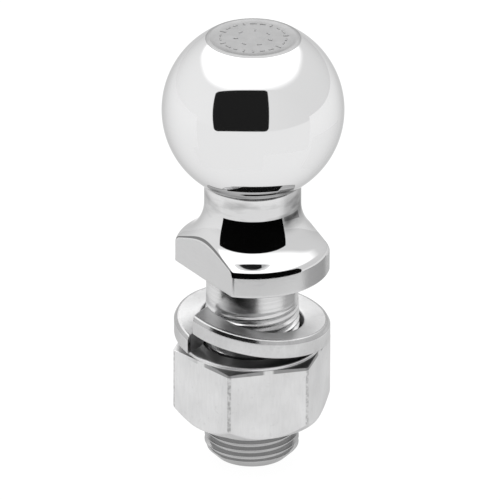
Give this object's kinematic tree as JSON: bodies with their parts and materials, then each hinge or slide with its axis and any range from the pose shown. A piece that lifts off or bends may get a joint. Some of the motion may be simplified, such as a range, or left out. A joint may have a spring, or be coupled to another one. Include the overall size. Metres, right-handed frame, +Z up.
{
  "type": "trailer hitch ball",
  "caption": "Forged hitch ball on a threaded shank, with flared seat flange, split spring lock washer and hex nut.",
  "frame": {"origin": "centre of the shank's flat end face, at the bottom", "axes": "+Z up along the shank axis towards the ball; the nut and washer slide and turn on +Z"},
  "size_m": [0.0476, 0.0476, 0.1196],
  "materials": {
    "mirror_chrome": "polished mirror chrome over forged steel",
    "plated_spring_steel": "satin plated spring steel with fine grain along the coil",
    "zinc_plate": "satin zinc plate, faintly mottled"
  },
  "bodies": {
    "ball_stud": {"ball_stud": "mirror_chrome"},
    "lock_washer": {"lock_washer": "plated_spring_steel"},
    "hex_nut": {"hex_nut": "zinc_plate"}
  },
  "joints": [
    {"name": "washer_slide", "type": "slide", "parent": "ball_stud", "child": "lock_washer", "axis": [0, 0, 1], "range_m": [-0.0327, 0.0084]},
    {"name": "nut_turn", "type": "hinge", "parent": "lock_washer", "child": "hex_nut", "pos_m": [0, 0, 0.0225], "axis": [0, 0, 1], "range_deg": [-6480, 1656]}
  ],
  "couplings": [
    {"joint": "washer_slide", "follows": "nut_turn", "m_per_rad": 0.00028875}
  ]
}
